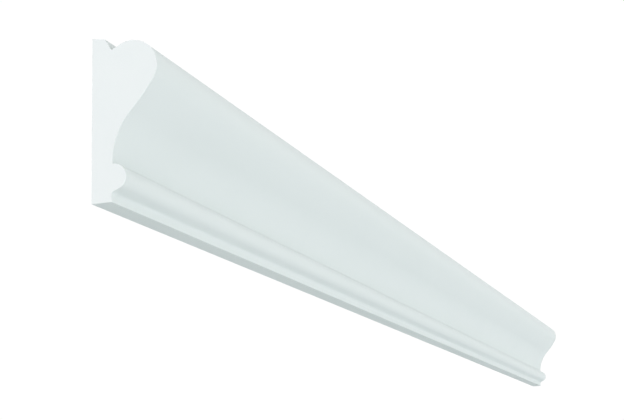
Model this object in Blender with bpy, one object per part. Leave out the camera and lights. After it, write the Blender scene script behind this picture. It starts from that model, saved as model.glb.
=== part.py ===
"""Picture rail: a straight metre of white wall moulding, one solid, sawn square at both ends.

Metres, +Z up. X runs along the wall. The flat back lies in the plane Y = 0, with the wall behind it at +Y,
and the mouldings face -Y, into the room. The origin is the centre of the back, where the rail is fixed.

The section is drawn as points (out, up): how far out from the wall, and how far up from the back's
lower arris. It runs from that arris along the underside, up the face and back to the wall over the top.
"""
import math

import bmesh
import bpy
from mathutils import Vector

MM = 0.001

LENGTH = 1000 * MM
HEIGHT = 50 * MM

# Foot: a small square fillet. The underside rises a little towards the room, as a splayed edge does.
FOOT_OUT = 6.35 * MM
UNDERSIDE_RISE = 0.41 * MM

# Bead: a half round between the foot and the ogee. Below, a straight slope leaves it as a tangent and turns
# down into the foot's face in a small hollow, the throat. Above, it ends in a square quirk under the cove.
BEAD_RADIUS = 3.92 * MM
BEAD_CENTRE = Vector((6.9 * MM, 7.92 * MM))
BEAD_FROM = math.radians(-64)
THROAT_RADIUS = 1.2 * MM

# Roll: the large round nose that a picture hook hangs over.
ROLL_RADIUS = 7.75 * MM
ROLL_CENTRE = Vector((12.55 * MM, 40.98 * MM))

# Ogee: the roll eases into a flatter shoulder, which turns over into the long hollow of the cove.
SHOULDER_RADIUS = 55.0 * MM
COVE_RADIUS = 23.85 * MM
SHOULDER_FROM = math.radians(-30.3)
COVE_FROM = math.radians(-42)

# Hook groove: a V behind the roll. Its inner flank leaves the roll along a tangent.
GROOVE_FROM = math.radians(120)
GROOVE_OUT = 5.95 * MM

# Top fillet: the flat strip that stands against the wall behind the groove. It falls a little outwards.
FILLET_OUT = 4.05 * MM
FILLET_FALL = 0.45 * MM

# No chord of an arc strays further than this from the true curve.
CHORD_GAP = 0.005 * MM

PRIMER_COLOUR = (0.725, 0.78, 0.772, 1.0)
PRIMER_ROUGHNESS = 0.71


def polar(centre, radius, angle):
    """The point at an angle above the straight-out direction, on a circle in the section."""
    return centre + radius * Vector((math.cos(angle), math.sin(angle)))


def arc(centre, radius, start, end):
    """Points along an arc from the start angle to the end angle, both included."""
    widest = 2 * math.acos(1 - CHORD_GAP / radius)
    steps = math.ceil(abs(end - start) / widest)
    return [polar(centre, radius, start + (end - start) * i / steps) for i in range(steps + 1)]


def foot_and_underside():
    """The back's lower arris, and the front lower arris of the foot."""
    return [Vector((0, 0)), Vector((FOOT_OUT, UNDERSIDE_RISE))]


def shoulder_and_cove_centres():
    """The centres that make the roll, the shoulder and the cove tangent, each to the next."""
    shoulder_centre = polar(ROLL_CENTRE, ROLL_RADIUS - SHOULDER_RADIUS, SHOULDER_FROM)
    return shoulder_centre, polar(shoulder_centre, SHOULDER_RADIUS + COVE_RADIUS, COVE_FROM)


def throat_and_bead():
    """The throat at the head of the foot, the slope out of it, and the bead round to its quirk."""
    throat_out = FOOT_OUT + THROAT_RADIUS
    sideways = (throat_out - BEAD_CENTRE.x) * math.cos(BEAD_FROM)
    throat_up = BEAD_CENTRE.y + (THROAT_RADIUS + BEAD_RADIUS - sideways) / math.sin(BEAD_FROM)
    throat = arc(Vector((throat_out, throat_up)), THROAT_RADIUS, math.pi, math.pi + BEAD_FROM)
    quirk_out = shoulder_and_cove_centres()[1].x - COVE_RADIUS
    bead_end = math.acos((quirk_out - BEAD_CENTRE.x) / BEAD_RADIUS)
    return throat + arc(BEAD_CENTRE, BEAD_RADIUS, BEAD_FROM, bead_end)


def ogee_and_roll():
    """The cove, upright at the quirk, then the shoulder and the roll, up to the groove's flank.

    The roll has a corner right at its nose, so that the rail is as deep here as the true curve is.
    """
    shoulder_centre, cove_centre = shoulder_and_cove_centres()
    cove = arc(cove_centre, COVE_RADIUS, math.pi, math.pi + COVE_FROM)
    shoulder = arc(shoulder_centre, SHOULDER_RADIUS, COVE_FROM, SHOULDER_FROM)
    under_nose = arc(ROLL_CENTRE, ROLL_RADIUS, SHOULDER_FROM, 0)
    over_nose = arc(ROLL_CENTRE, ROLL_RADIUS, 0, GROOVE_FROM)
    return cove + shoulder[1:] + under_nose[1:] + over_nose[1:]


def groove_and_fillet():
    """The bottom of the V, the front arris of the top fillet, and the back's upper arris."""
    roll_end = polar(ROLL_CENTRE, ROLL_RADIUS, GROOVE_FROM)
    flank_slope = math.tan(GROOVE_FROM - math.pi / 2)
    groove_up = roll_end.y - (roll_end.x - GROOVE_OUT) * flank_slope
    return [
        Vector((GROOVE_OUT, groove_up)),
        Vector((FILLET_OUT, HEIGHT - FILLET_FALL)),
        Vector((0, HEIGHT)),
    ]


def section():
    """The whole outline, in order round the section."""
    return foot_and_underside() + throat_and_bead() + ogee_and_roll() + groove_and_fillet()


def primer():
    """The smooth white primer that covers the rail all over."""
    material = bpy.data.materials.new("white_primer")
    material.use_nodes = True
    shader = material.node_tree.nodes["Principled BSDF"]
    shader.inputs["Base Color"].default_value = PRIMER_COLOUR
    shader.inputs["Roughness"].default_value = PRIMER_ROUGHNESS
    shader.inputs["Metallic"].default_value = 0.0
    return material


def moulding():
    """The section at the left end, run along the wall to the right end."""
    shape = bmesh.new()
    ring = [shape.verts.new((-LENGTH / 2, -point.x, point.y - HEIGHT / 2)) for point in section()]
    left_end = shape.faces.new(ring)
    run = bmesh.ops.extrude_face_region(shape, geom=[left_end])
    far_ring = [part for part in run["geom"] if isinstance(part, bmesh.types.BMVert)]
    bmesh.ops.translate(shape, verts=far_ring, vec=(LENGTH, 0, 0))
    bmesh.ops.recalc_face_normals(shape, faces=shape.faces)

    mesh = bpy.data.meshes.new("moulding")
    shape.to_mesh(mesh)
    shape.free()
    mesh.shade_smooth()
    mesh.set_sharp_from_angle(angle=math.radians(20))
    mesh.materials.append(primer())
    rail = bpy.data.objects.new("moulding", mesh)
    bpy.context.collection.objects.link(rail)
    return rail


def main():
    for old in list(bpy.data.objects):
        bpy.data.objects.remove(old)
    moulding()


main()
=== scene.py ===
import math

import bmesh
import bpy
from mathutils import Matrix, Vector
from mathutils.geometry import tessellate_polygon


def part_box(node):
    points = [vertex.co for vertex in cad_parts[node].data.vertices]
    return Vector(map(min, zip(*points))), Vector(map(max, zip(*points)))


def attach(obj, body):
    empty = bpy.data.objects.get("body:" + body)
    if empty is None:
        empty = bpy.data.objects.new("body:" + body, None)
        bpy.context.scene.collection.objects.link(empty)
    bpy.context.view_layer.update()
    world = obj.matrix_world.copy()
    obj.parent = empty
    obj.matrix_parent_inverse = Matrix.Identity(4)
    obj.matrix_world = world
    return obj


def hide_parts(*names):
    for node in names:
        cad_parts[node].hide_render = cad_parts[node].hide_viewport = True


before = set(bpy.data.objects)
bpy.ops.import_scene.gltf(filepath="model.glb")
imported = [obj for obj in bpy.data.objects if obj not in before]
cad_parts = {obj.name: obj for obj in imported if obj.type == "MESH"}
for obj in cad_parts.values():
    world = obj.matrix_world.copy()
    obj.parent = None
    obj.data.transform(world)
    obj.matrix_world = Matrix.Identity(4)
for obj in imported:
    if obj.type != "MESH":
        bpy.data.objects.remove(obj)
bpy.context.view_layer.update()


# The camera. It stands half a metre before the rail's near end, out from the wall and below the rail, and
# looks along it and up at it, as in the photograph.
MM = 0.001
STANDS_BEFORE_THE_END = 486.5 * MM
STANDS_OUT_FROM_THE_WALL = 190.3 * MM
STANDS_BELOW_THE_MIDDLE = 109.4 * MM
TURNED_TOWARDS_THE_WALL = math.radians(14.243)
TILTED_UP = math.radians(8.976)
LEANING = math.radians(-0.772)
LENS_MM = 103.17
SENSOR_MM = 36.0
SEES_FROM = 0.01
SEES_AS_FAR_AS = 200.0

low_corner, high_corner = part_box("moulding")
camera_data = bpy.data.cameras.new("camera")
camera_data.lens = LENS_MM
camera_data.sensor_width = SENSOR_MM
camera_data.clip_start = SEES_FROM
camera_data.clip_end = SEES_AS_FAR_AS
camera = bpy.data.objects.new("camera", camera_data)
bpy.context.collection.objects.link(camera)
stand = Vector((low_corner.x - STANDS_BEFORE_THE_END, -STANDS_OUT_FROM_THE_WALL, -STANDS_BELOW_THE_MIDDLE))
camera.matrix_world = (
    Matrix.Translation(stand)
    @ Matrix.Rotation(TURNED_TOWARDS_THE_WALL - math.pi / 2, 4, "Z")
    @ Matrix.Rotation(math.pi / 2 + TILTED_UP, 4, "X")
    @ Matrix.Rotation(LEANING, 4, "Z")
)
bpy.context.scene.camera = camera


# The moulding. One length of hard white polymer, drawn through a die to its section, primed matt white in
# the factory and sawn square at both ends. Its flat back is glued or pinned to the wall. The section is drawn
# as points (out, up): how far out from the wall, and how far up from the back's lower arris.
LENGTH = high_corner.x - low_corner.x
HEIGHT = high_corner.z - low_corner.z

# From below, the face has a small square foot, a bead with a hollow throat under it, an ogee (the cove, and
# the shoulder over it), the roll, a V groove for the lip of a picture hook, and a flat fillet by the wall.
FOOT_OUT = 6.35 * MM
UNDERSIDE_RISE = 0.41 * MM
BEAD_RADIUS = 3.92 * MM
BEAD_CENTRE = Vector((6.9 * MM, 7.92 * MM))
BEAD_FROM = math.radians(-64)
THROAT_RADIUS = 1.2 * MM
ROLL_RADIUS = 7.75 * MM
ROLL_CENTRE = Vector((12.55 * MM, 40.98 * MM))
SHOULDER_RADIUS = 55.0 * MM
COVE_RADIUS = 23.85 * MM
SHOULDER_FROM = math.radians(-30.3)
COVE_FROM = math.radians(-42)
GROOVE_FROM = math.radians(120)
GROOVE_OUT = 5.95 * MM
FILLET_OUT = 4.05 * MM
FILLET_FALL = 0.45 * MM

# The primer takes the edge off each arris and fills each quirk by these widths. The sawn arrises are only
# rubbed, and turn over in steps at these angles.
ARRIS_EASE = 0.16 * MM
QUIRK_FILL = 0.18 * MM
SAWN_EASE = 0.05 * MM
SAWN_EASE_DEGREES = (0, 30, 60, 90)

# How finely the mesh follows the section: the steps of an eased arris, how close to it a flat has its last
# point, and how far the chord of an arc may stray.
EASE_STEPS = 5
FLAT_MARGIN = 0.06 * MM
CHORD_GAP = 0.0002 * MM

# The rail's three finishes, and how squarely a face has to look along the rail to be sawn, or at the wall to
# be bare.
PRIMED, SAWN, BARE = range(3)
SAWN_FACES_ALONG = 0.7
BACK_FACES_THE_WALL = 0.99


def on_circle(centre, radius, angle):
    """The point at an angle above the straight-out direction, on a circle in the section."""
    return centre + radius * Vector((math.cos(angle), math.sin(angle)))


def sweep(centre, radius, start, end):
    """Points along a round stretch of the section, both ends included."""
    widest = 2 * math.acos(1 - CHORD_GAP / radius)
    steps = math.ceil(abs(end - start) / widest)
    return [on_circle(centre, radius, start + (end - start) * i / steps) for i in range(steps + 1)]


def section_runs():
    """The section's runs from arris to arris, each with the easing of the arris that it ends in."""
    shoulder_centre = on_circle(ROLL_CENTRE, ROLL_RADIUS - SHOULDER_RADIUS, SHOULDER_FROM)
    cove_centre = on_circle(shoulder_centre, SHOULDER_RADIUS + COVE_RADIUS, COVE_FROM)
    foot_arris = Vector((FOOT_OUT, UNDERSIDE_RISE))
    throat_out = FOOT_OUT + THROAT_RADIUS
    sideways = (throat_out - BEAD_CENTRE.x) * math.cos(BEAD_FROM)
    throat_up = BEAD_CENTRE.y + (THROAT_RADIUS + BEAD_RADIUS - sideways) / math.sin(BEAD_FROM)
    throat = sweep(Vector((throat_out, throat_up)), THROAT_RADIUS, math.pi, math.pi + BEAD_FROM)
    bead_end = math.acos((cove_centre.x - COVE_RADIUS - BEAD_CENTRE.x) / BEAD_RADIUS)
    bead = sweep(BEAD_CENTRE, BEAD_RADIUS, BEAD_FROM, bead_end)
    cove = sweep(cove_centre, COVE_RADIUS, math.pi, math.pi + COVE_FROM)
    shoulder = sweep(shoulder_centre, SHOULDER_RADIUS, COVE_FROM, SHOULDER_FROM)
    roll = sweep(ROLL_CENTRE, ROLL_RADIUS, SHOULDER_FROM, GROOVE_FROM)
    flank_fall = (roll[-1].x - GROOVE_OUT) * math.tan(GROOVE_FROM - math.pi / 2)
    groove = Vector((GROOVE_OUT, roll[-1].y - flank_fall))
    fillet_arris = Vector((FILLET_OUT, HEIGHT - FILLET_FALL))
    top_arris = Vector((0, HEIGHT))
    low_arris = Vector((0, 0))
    return [
        ([low_arris, foot_arris], ARRIS_EASE),
        ([foot_arris] + throat + bead, QUIRK_FILL),
        ([bead[-1]] + cove + shoulder[1:] + roll[1:] + [groove], QUIRK_FILL),
        ([groove, fillet_arris], ARRIS_EASE),
        ([fillet_arris, top_arris], ARRIS_EASE),
        ([top_arris, low_arris], ARRIS_EASE),
    ]


def cut_back(run, distance):
    """The run without its first stretch of that length."""
    rest = list(run)
    while distance > 0:
        step = rest[1] - rest[0]
        if step.length > distance:
            rest[0] = rest[0] + step * (distance / step.length)
            break
        distance -= step.length
        rest.pop(0)
    return rest


def with_margins(run):
    """The run with a point close to each end, so that its flat is shaded flat right up to the arris."""
    first = run[0] + (run[1] - run[0]).normalized() * FLAT_MARGIN
    last = run[-1] + (run[-2] - run[-1]).normalized() * FLAT_MARGIN
    return [run[0], first] + run[1:-1] + [last, run[-1]]


def eased_section():
    """The whole outline of the section, with each arris and quirk turned in a small curve."""
    runs = section_runs()
    outline = []
    for place, (run, ease_after) in enumerate(runs):
        ease_before = runs[place - 1][1]
        kept = cut_back(run, ease_before)
        kept = cut_back(kept[::-1], ease_after)[::-1]
        next_run = runs[(place + 1) % len(runs)][0]
        start, arris, end = kept[-1], run[-1], cut_back(next_run, ease_after)[0]
        outline += with_margins(kept)
        for step in range(1, EASE_STEPS):
            share = step / EASE_STEPS
            outline.append(start * (1 - share) ** 2 + arris * 2 * share * (1 - share) + end * share ** 2)
    return outline


def drawn_in(outline, depth):
    """The outline moved into the material by that depth."""
    moved = []
    for place, point in enumerate(outline):
        before = outline[place - 1]
        after = outline[(place + 1) % len(outline)]
        along = (point - before).normalized() + (after - point).normalized()
        inward = Vector((-along.y, along.x)).normalized()
        moved.append(point + inward * depth)
    return moved


def rail_mesh():
    """The section run from sawn end to sawn end, with the sawn arrises just taken off."""
    outline = eased_section()
    turn = [math.radians(angle) for angle in SAWN_EASE_DEGREES]
    ends = [(SAWN_EASE * (1 - math.cos(a)), SAWN_EASE * (1 - math.sin(a))) for a in turn]
    stations = [(-LENGTH / 2 + back, depth) for back, depth in ends]
    stations += [(LENGTH / 2 - back, depth) for back, depth in reversed(ends)]
    shape = bmesh.new()
    rings = []
    for x, depth in stations:
        rings.append([shape.verts.new((x, -p.x, p.y - HEIGHT / 2)) for p in drawn_in(outline, depth)])
    for ring, following in zip(rings, rings[1:]):
        for place in range(len(outline)):
            after = (place + 1) % len(outline)
            shape.faces.new((ring[place], ring[after], following[after], following[place]))
    for ring in (rings[0], rings[-1]):
        # The filler is given millimetres, so that the outline's finest steps aren't tiny numbers.
        flat = [Vector((vert.co.y, vert.co.z, 0)) / MM for vert in ring]
        for corners in tessellate_polygon([flat]):
            sawn = shape.faces.new([ring[corner] for corner in corners])
            for edge in sawn.edges:
                edge.smooth = False
    bmesh.ops.recalc_face_normals(shape, faces=shape.faces)
    for face in shape.faces:
        face.smooth = True
        if abs(face.normal.x) > SAWN_FACES_ALONG:
            face.material_index = SAWN
        elif face.normal.y > BACK_FACES_THE_WALL:
            face.material_index = BARE
        else:
            face.material_index = PRIMED
    mesh = bpy.data.meshes.new("moulding")
    shape.to_mesh(mesh)
    shape.free()
    return mesh


def add(material, kind, **settings):
    """A node of that kind in the material, with its sockets and properties set by name."""
    made = material.node_tree.nodes.new(kind)
    for name, value in settings.items():
        socket = made.inputs.get(name.replace("_", " ").title())
        if socket is None:
            setattr(made, name, value)
        else:
            socket.default_value = value
    return made


def stretched(material, along, across):
    """Positions on the rail, multiplied by one number along its length and another across it."""
    place = add(material, "ShaderNodeTexCoord")
    scale = add(material, "ShaderNodeMapping", scale=(along, across, across))
    material.node_tree.links.new(place.outputs["Object"], scale.inputs["Vector"])
    return scale.outputs["Vector"]


def mottled(material, position, detail, low=0.0, high=1.0):
    """Soft noise at that position. Its usual range, from 0.3 to 0.7, is spread from low to high."""
    links = material.node_tree.links
    noise = add(material, "ShaderNodeTexNoise", scale=1.0, detail=detail, roughness=0.5)
    links.new(position, noise.inputs["Vector"])
    spread = add(material, "ShaderNodeMapRange", from_min=0.3, from_max=0.7, to_min=low, to_max=high)
    links.new(noise.outputs["Fac"], spread.inputs["Value"])
    return spread.outputs["Result"]


def tinted(material, share, dark, light):
    """A colour between a darker and a lighter one.

    The node's colour sockets are taken by number: its sockets for numbers and vectors have the same names.
    """
    mix = add(material, "ShaderNodeMix", data_type="RGBA")
    mix.inputs[6].default_value = (*dark, 1)
    mix.inputs[7].default_value = (*light, 1)
    material.node_tree.links.new(share, mix.inputs["Factor"])
    return mix.outputs[2]


def raised(material, height, depth, below=None):
    """Fine relief of that depth, on top of any that is given."""
    links = material.node_tree.links
    bump = add(material, "ShaderNodeBump", strength=1.0, distance=depth)
    links.new(height, bump.inputs["Height"])
    if below is not None:
        links.new(below, bump.inputs["Normal"])
    return bump.outputs["Normal"]


def finish(name):
    """An empty finish, and its shader."""
    material = bpy.data.materials.new(name)
    material.use_nodes = True
    return material, material.node_tree.nodes["Principled BSDF"]


# The primer's finish. Here and below, a pattern's numbers are its waves per metre along and across the rail.
PRIMER_DARK = (0.721, 0.777, 0.769)
PRIMER_LIGHT = (0.729, 0.783, 0.775)
PRIMER_CLOUDS = (14, 40)
PRIMER_SHEEN = (60, 60)
PRIMER_ROUGHNESS = (0.66, 0.76)
DIE_MARKS = (1.2, 1300)
DIE_MARK_DEPTH = 0.003 * MM
PEEL = (1500, 1500)
PEEL_DEPTH = 0.004 * MM
MATT_SPECULAR = 0.25


def matt_primer():
    """Sprayed primer: faint orange peel over the long, straight marks that the die leaves."""
    material, shader = finish("white_primer")
    links = material.node_tree.links
    cloud = mottled(material, stretched(material, *PRIMER_CLOUDS), 2)
    die_marks = mottled(material, stretched(material, *DIE_MARKS), 1)
    peel = mottled(material, stretched(material, *PEEL), 1)
    links.new(tinted(material, cloud, PRIMER_DARK, PRIMER_LIGHT), shader.inputs["Base Color"])
    sheen = mottled(material, stretched(material, *PRIMER_SHEEN), 3, *PRIMER_ROUGHNESS)
    links.new(sheen, shader.inputs["Roughness"])
    shader.inputs["Specular IOR Level"].default_value = MATT_SPECULAR
    relief = raised(material, die_marks, DIE_MARK_DEPTH)
    relief = raised(material, peel, PEEL_DEPTH, relief)
    links.new(relief, shader.inputs["Normal"])
    return material


# The sawn ends. The blade's axle stood in front of the rail and below it, and this scale sets its marks
# half a millimetre apart.
SAWN_DARK = (0.724, 0.779, 0.772)
SAWN_LIGHT = (0.732, 0.785, 0.778)
SAWN_CLOUDS = (120, 120)
SAWN_SHEEN = (300, 300)
SAWN_ROUGHNESS = (0.72, 0.82)
CELLS = (2600, 2600)
CELL_DEPTH = 0.006 * MM
AXLE_AWAY = (0, 110 * MM, 90 * MM)
BLADE_SCALE = 620.0
BLADE_MARK_DEPTH = 0.002 * MM


def sawn_polymer():
    """The sawn end: fine closed cells, crossed by the curved marks of a circular saw."""
    material, shader = finish("sawn_polymer")
    links = material.node_tree.links
    cells = add(material, "ShaderNodeTexVoronoi", scale=1.0)
    links.new(stretched(material, *CELLS), cells.inputs["Vector"])
    end = add(material, "ShaderNodeTexCoord")
    axle = add(material, "ShaderNodeMapping", location=AXLE_AWAY)
    marks = add(material, "ShaderNodeTexWave", wave_type="RINGS", rings_direction="X", scale=BLADE_SCALE)
    links.new(end.outputs["Object"], axle.inputs["Vector"])
    links.new(axle.outputs["Vector"], marks.inputs["Vector"])
    cloud = mottled(material, stretched(material, *SAWN_CLOUDS), 2)
    links.new(tinted(material, cloud, SAWN_DARK, SAWN_LIGHT), shader.inputs["Base Color"])
    sheen = mottled(material, stretched(material, *SAWN_SHEEN), 2, *SAWN_ROUGHNESS)
    links.new(sheen, shader.inputs["Roughness"])
    shader.inputs["Specular IOR Level"].default_value = MATT_SPECULAR
    relief = raised(material, cells.outputs["Distance"], CELL_DEPTH)
    relief = raised(material, marks.outputs["Fac"], BLADE_MARK_DEPTH, relief)
    links.new(relief, shader.inputs["Normal"])
    return material


# The back, which is left as the die made it.
BARE_DARK = (0.706, 0.750, 0.731)
BARE_LIGHT = (0.724, 0.766, 0.747)
BARE_MARKS = (1.5, 420)
BARE_MARK_DEPTH = 0.008 * MM
BARE_SHEEN = (6, 90)
BARE_ROUGHNESS = (0.40, 0.52)


def bare_back():
    """The unprimed back: the polymer's own skin, drawn smooth, with the die's marks along it."""
    material, shader = finish("bare_polymer")
    links = material.node_tree.links
    marks = mottled(material, stretched(material, *BARE_MARKS), 3)
    links.new(tinted(material, marks, BARE_DARK, BARE_LIGHT), shader.inputs["Base Color"])
    sheen = mottled(material, stretched(material, *BARE_SHEEN), 2, *BARE_ROUGHNESS)
    links.new(sheen, shader.inputs["Roughness"])
    links.new(raised(material, marks, BARE_MARK_DEPTH), shader.inputs["Normal"])
    return material


moulding = bpy.data.objects.new("picture_rail", rail_mesh())
bpy.context.collection.objects.link(moulding)
for skin in (matt_primer(), sawn_polymer(), bare_back()):
    moulding.data.materials.append(skin)
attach(moulding, "root")
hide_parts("moulding")


# The floor. A plain, smooth, pale grey studio floor well below the rail. A few steps off it turns into a
# painted white glow, an emission that also lights the rail, where it runs into the white surround.
FLOOR_BELOW = 0.45
FLOOR_REACH = 70.0
FLOOR_GLOW_STARTS = 1.3
FLOOR_GLOW_FULL_FROM = 4.3
FLOOR_DARK = (0.460, 0.523, 0.506)
FLOOR_LIGHT = (0.475, 0.540, 0.523)
FLOOR_CLOUDS = (2.5, 2.5)
FLOOR_ROUGHNESS = 0.75

floor_mesh = bpy.data.meshes.new("floor")
floor_corners = [(-1, -1), (1, -1), (1, 1), (-1, 1)]
floor_at = [(x * FLOOR_REACH, y * FLOOR_REACH, -FLOOR_BELOW) for x, y in floor_corners]
floor_mesh.from_pydata(floor_at, [], [(0, 1, 2, 3)])
floor = bpy.data.objects.new("floor", floor_mesh)
bpy.context.collection.objects.link(floor)


def pale_floor():
    """An even pale grey, faintly clouded, with a painted white glow, which lights the rail too, in the
    distance.
    """
    material, shader = finish("pale_floor")
    links = material.node_tree.links
    shade = mottled(material, stretched(material, *FLOOR_CLOUDS), 3)
    links.new(tinted(material, shade, FLOOR_DARK, FLOOR_LIGHT), shader.inputs["Base Color"])
    shader.inputs["Roughness"].default_value = FLOOR_ROUGHNESS
    # Painted light: with distance the floor's grey gives way to a white emission, which lights the rail as
    # well.
    distance = add(material, "ShaderNodeVectorMath", operation="LENGTH")
    links.new(stretched(material, 1, 1), distance.inputs[0])
    glow_share = add(material, "ShaderNodeMapRange", interpolation_type="SMOOTHSTEP")
    glow_share.inputs["From Min"].default_value = FLOOR_GLOW_STARTS
    glow_share.inputs["From Max"].default_value = FLOOR_GLOW_FULL_FROM
    links.new(distance.outputs["Value"], glow_share.inputs["Value"])
    glow = add(material, "ShaderNodeEmission", strength=1.0)
    blend = add(material, "ShaderNodeMixShader")
    links.new(glow_share.outputs["Result"], blend.inputs["Fac"])
    links.new(shader.outputs["BSDF"], blend.inputs[1])
    links.new(glow.outputs["Emission"], blend.inputs[2])
    links.new(blend.outputs["Shader"], material.node_tree.nodes["Material Output"].inputs["Surface"])
    return material


floor_mesh.materials.append(pale_floor())
floor.visible_shadow = False


# The light. A white surround under a bright ceiling, with a dimmer band between them, and four large, soft
# and distant lamps. Three stand low, to the left, in front and to the right, and shine up through the floor,
# which throws no shadow. The fourth stands behind, for the back and the far end.
CEILING_STRENGTH = 1.10
SURROUND_SHARE = 0.927
BAND_SHARE = 0.5

# Each level of the surround, with its angle above the horizon in degrees.
SKY_LEVELS = ((22, SURROUND_SHARE), (38, BAND_SHARE), (52, BAND_SHARE), (68, 1.0))

LOW_LAMPS_WIDTH = math.radians(50)
LEFT_STRENGTH = 0.441 * math.pi
LEFT_COLOUR = (1.0, 0.907, 0.957)
LEFT_FROM_THE_FRONT = math.radians(-90)
LEFT_ABOVE = math.radians(-15)
FRONT_STRENGTH = 0.214 * math.pi
FRONT_COLOUR = (0.967, 1.0, 1.0)
FRONT_FROM_THE_FRONT = math.radians(30)
FRONT_ABOVE = math.radians(-15)
RIGHT_STRENGTH = 0.132 * math.pi
RIGHT_COLOUR = (1.0, 0.871, 1.0)
RIGHT_FROM_THE_FRONT = math.radians(60)
RIGHT_ABOVE = math.radians(-30)
BACK_STRENGTH = 0.33 * math.pi
BACK_COLOUR = (1.0, 0.93, 0.96)
BACK_LAMP_WIDTH = math.radians(30)
BACK_FROM_THE_FRONT = math.radians(150)
BACK_ABOVE = math.radians(12)

world = bpy.data.worlds.new("white_surround")
bpy.context.scene.world = world
world.use_nodes = True
sky = world.node_tree
towards = sky.nodes.new("ShaderNodeTexCoord")
split = sky.nodes.new("ShaderNodeSeparateXYZ")
levels = sky.nodes.new("ShaderNodeValToRGB")
levels.color_ramp.interpolation = "EASE"
levels.color_ramp.elements.remove(levels.color_ramp.elements[1])
for place, (above, share) in enumerate(SKY_LEVELS):
    stops = levels.color_ramp.elements
    stop = stops[0] if place == 0 else stops.new(1.0)
    stop.position = math.sin(math.radians(above))
    stop.color = (share, share, share, 1)
sky.links.new(towards.outputs["Generated"], split.inputs["Vector"])
sky.links.new(split.outputs["Z"], levels.inputs["Fac"])
sky.links.new(levels.outputs["Color"], sky.nodes["Background"].inputs["Color"])
sky.nodes["Background"].inputs["Strength"].default_value = CEILING_STRENGTH


def soft_lamp(name, strength, colour, width, from_the_front, above):
    """A wide, distant lamp that stands in that direction from the rail."""
    lamp_data = bpy.data.lights.new(name, "SUN")
    lamp_data.angle = width
    lamp_data.energy = strength
    lamp_data.color = colour
    lamp_data.cycles.use_multiple_importance_sampling = False
    lamp = bpy.data.objects.new(name, lamp_data)
    towards_lamp = Vector((
        math.sin(from_the_front) * math.cos(above),
        -math.cos(from_the_front) * math.cos(above),
        math.sin(above),
    ))
    lamp.rotation_mode = "QUATERNION"
    lamp.rotation_quaternion = towards_lamp.to_track_quat("Z", "Y")
    bpy.context.collection.objects.link(lamp)


soft_lamp("left_lamp", LEFT_STRENGTH, LEFT_COLOUR, LOW_LAMPS_WIDTH, LEFT_FROM_THE_FRONT, LEFT_ABOVE)
soft_lamp("front_lamp", FRONT_STRENGTH, FRONT_COLOUR, LOW_LAMPS_WIDTH, FRONT_FROM_THE_FRONT, FRONT_ABOVE)
soft_lamp("right_lamp", RIGHT_STRENGTH, RIGHT_COLOUR, LOW_LAMPS_WIDTH, RIGHT_FROM_THE_FRONT, RIGHT_ABOVE)
soft_lamp("back_lamp", BACK_STRENGTH, BACK_COLOUR, BACK_LAMP_WIDTH, BACK_FROM_THE_FRONT, BACK_ABOVE)

# The picture shows each shade as it is lit, without a film's curve.
bpy.context.scene.view_settings.view_transform = "Standard"
